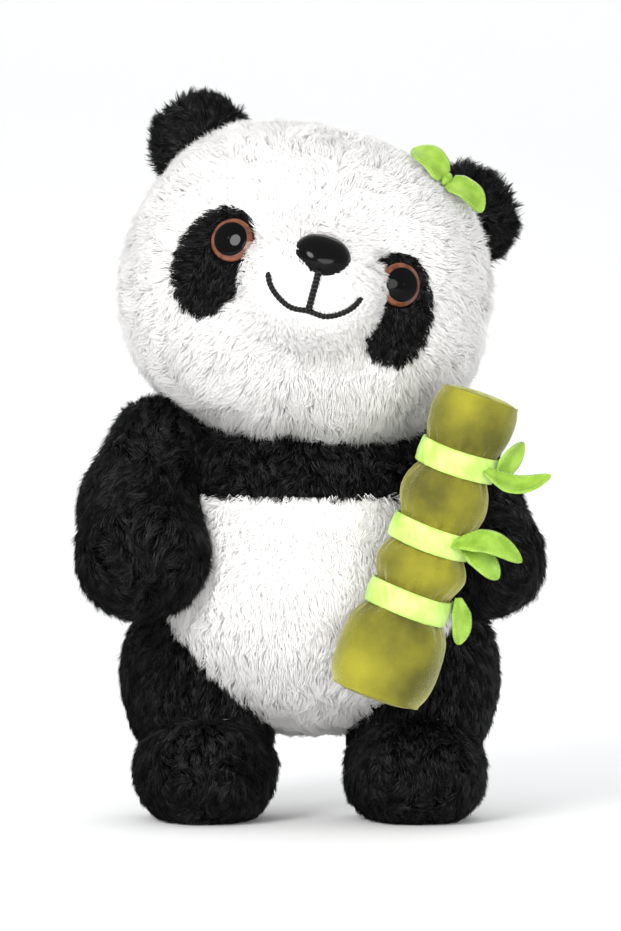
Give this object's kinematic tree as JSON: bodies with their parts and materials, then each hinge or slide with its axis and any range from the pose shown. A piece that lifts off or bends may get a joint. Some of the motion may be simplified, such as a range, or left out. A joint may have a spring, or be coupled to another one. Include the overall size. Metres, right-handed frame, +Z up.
{
  "type": "plush panda",
  "caption": "Soft standing panda with a tilted head, jointed limbs and ears, and a stuffed bamboo stalk with leaves tacked to one paw.",
  "frame": {"origin": "middle of the toy's box at the soles", "axes": "+Z up, -Y the way the belly faces, +X the toy's own left, where the bamboo stalk is"},
  "size_m": [0.1955, 0.1595, 0.3084],
  "materials": {
    "white_pile": "matte",
    "short_white_pile": "matte",
    "black_pile": "matte",
    "stuffing": "matte",
    "pellet_bag": "matte",
    "brown_plastic": "gloss",
    "black_plastic": "gloss",
    "washer_plastic": "satin",
    "black_thread": "satin",
    "white_thread": "satin",
    "green_thread": "satin",
    "ribbon_satin": "satin",
    "leaf_satin": "satin",
    "stalk_end_pile": "matte",
    "stalk_pile": "matte"
  },
  "bodies": {
    "torso": {"shoulder_yoke_cover": "black_pile", "belly_cover": "white_pile", "torso_stuffing": "stuffing", "pellet_pouch": "pellet_bag"},
    "neck_lower_round": {"neck_thread_lower": "white_thread"},
    "neck_upper_round": {"neck_thread_upper": "white_thread"},
    "head": {"head_cover": "white_pile", "head_stuffing": "stuffing", "muzzle_cover": "short_white_pile", "muzzle_stuffing": "stuffing", "nose": "black_plastic", "nose_washer": "washer_plastic", "mouth_smile_stitch": "black_thread", "mouth_centre_stitch": "black_thread", "eye_patch_left": "black_pile", "eye_patch_right": "black_pile", "eye_ring_left": "brown_plastic", "eye_ring_right": "brown_plastic", "eye_pupil_left": "black_plastic", "eye_pupil_right": "black_plastic", "eye_washer_left": "washer_plastic", "eye_washer_right": "washer_plastic"},
    "bow": {"head_leaf_upper": "leaf_satin", "head_leaf_lower": "leaf_satin", "head_leaf_knot": "green_thread"},
    "stalk": {"stalk_cover": "stalk_pile", "stalk_end_bottom": "stalk_end_pile", "stalk_end_top": "stalk_end_pile", "stalk_stuffing": "stuffing", "stalk_tack_thread": "green_thread", "ribbon_lower": "ribbon_satin", "ribbon_middle": "ribbon_satin", "ribbon_upper": "ribbon_satin"},
    "leaves_upper": {"leaf_upper_level": "leaf_satin", "leaf_upper_raised": "leaf_satin"},
    "leaves_middle": {"leaf_middle_level": "leaf_satin", "leaf_middle_low": "leaf_satin"},
    "leaves_lower": {"leaf_lower": "leaf_satin"},
    "ear_left": {"ear_cover_left": "black_pile", "ear_filling_left": "stuffing"},
    "shoulder_left": {"shoulder_thread_left": "black_thread"},
    "arm_left": {"arm_cover_left": "black_pile", "arm_stuffing_left": "stuffing"},
    "leg_left": {"leg_cover_left": "black_pile", "leg_stuffing_left": "stuffing", "foot_cover_left": "black_pile", "foot_stuffing_left": "stuffing", "foot_pellet_bag_left": "pellet_bag"},
    "ear_right": {"ear_cover_right": "black_pile", "ear_filling_right": "stuffing"},
    "shoulder_right": {"shoulder_thread_right": "black_thread"},
    "arm_right": {"arm_cover_right": "black_pile", "arm_stuffing_right": "stuffing"},
    "leg_right": {"leg_cover_right": "black_pile", "leg_stuffing_right": "stuffing", "foot_cover_right": "black_pile", "foot_stuffing_right": "stuffing", "foot_pellet_bag_right": "pellet_bag"}
  },
  "joints": [
    {"name": "head_turn", "type": "hinge", "parent": "torso", "child": "neck_lower_round", "pos_m": [-0.00106, 0.01578, 0.24233], "axis": [0, 0, 1], "range_deg": [-35, 24], "stiffness_Nm_per_rad": 0.8},
    {"name": "head_tilt", "type": "hinge", "parent": "neck_lower_round", "child": "neck_upper_round", "pos_m": [-0.00106, 0.01578, 0.24233], "axis": [0, 1, 0], "range_deg": [-28, 5], "stiffness_Nm_per_rad": 0.8},
    {"name": "head_nod", "type": "hinge", "parent": "neck_upper_round", "child": "head", "pos_m": [-0.00106, 0.01578, 0.24233], "axis": [1, 0, 0], "range_deg": [-8, 9], "stiffness_Nm_per_rad": 0.8},
    {"name": "arm_spread_left", "type": "hinge", "parent": "torso", "child": "shoulder_left", "pos_m": [0.0572, 0.0084, 0.156], "axis": [0, -1, 0], "range_deg": [0, 14], "stiffness_Nm_per_rad": 1.5},
    {"name": "arm_lift_left", "type": "hinge", "parent": "shoulder_left", "child": "arm_left", "pos_m": [0.0572, 0.0084, 0.156], "axis": [-1, 0, 0], "range_deg": [0, 16], "stiffness_Nm_per_rad": 1.5},
    {"name": "hip_swing_left", "type": "hinge", "parent": "torso", "child": "leg_left", "pos_m": [0.0412, 0.0184, 0.066], "axis": [-1, 0, 0], "range_deg": [-8, 12], "stiffness_Nm_per_rad": 3},
    {"name": "arm_spread_right", "type": "hinge", "parent": "torso", "child": "shoulder_right", "pos_m": [-0.0728, 0.0084, 0.16], "axis": [0, 1, 0], "range_deg": [0, 20], "stiffness_Nm_per_rad": 1.5},
    {"name": "arm_lift_right", "type": "hinge", "parent": "shoulder_right", "child": "arm_right", "pos_m": [-0.0728, 0.0084, 0.16], "axis": [-1, 0, 0], "range_deg": [0, 52], "stiffness_Nm_per_rad": 1.5},
    {"name": "hip_swing_right", "type": "hinge", "parent": "torso", "child": "leg_right", "pos_m": [-0.0488, 0.0184, 0.066], "axis": [-1, 0, 0], "range_deg": [-8, 12], "stiffness_Nm_per_rad": 3},
    {"name": "ear_bend_left", "type": "hinge", "parent": "head", "child": "ear_left", "pos_m": [0.06718, 0.03203, 0.25966], "axis": [0.4215, -0.0958, -0.9018], "range_deg": [-25, 10], "stiffness_Nm_per_rad": 0.05},
    {"name": "ear_bend_right", "type": "hinge", "parent": "head", "child": "ear_right", "pos_m": [-0.05258, 0.0268, 0.29179], "axis": [0.8062, 0.1494, 0.5725], "range_deg": [-25, 10], "stiffness_Nm_per_rad": 0.05},
    {"name": "bow_twist", "type": "hinge", "parent": "head", "child": "bow", "pos_m": [0.0535, -0.01322, 0.27139], "axis": [0.3811, -0.7722, 0.5085], "range_deg": [-8, 8], "stiffness_Nm_per_rad": 0.02},
    {"name": "stalk_swivel", "type": "hinge", "parent": "arm_left", "child": "stalk", "pos_m": [0.0454, -0.0586, 0.12144], "axis": [0.636, 0.7396, -0.2204], "range_deg": [-6, 3], "stiffness_Nm_per_rad": 1},
    {"name": "leaf_flap_upper", "type": "hinge", "parent": "stalk", "child": "leaves_upper", "pos_m": [0.07427, -0.0586, 0.14763], "axis": [0.3275, 0, 0.9448], "range_deg": [-8, 2], "stiffness_Nm_per_rad": 0.02},
    {"name": "leaf_flap_middle", "type": "hinge", "parent": "stalk", "child": "leaves_middle", "pos_m": [0.06403, -0.0586, 0.11626], "axis": [0.3275, 0, 0.9448], "range_deg": [-8, 2], "stiffness_Nm_per_rad": 0.02},
    {"name": "leaf_flap_lower", "type": "hinge", "parent": "stalk", "child": "leaves_lower", "pos_m": [0.05502, -0.0586, 0.08964], "axis": [0.3275, 0, 0.9448], "range_deg": [-14, 2], "stiffness_Nm_per_rad": 0.02}
  ]
}
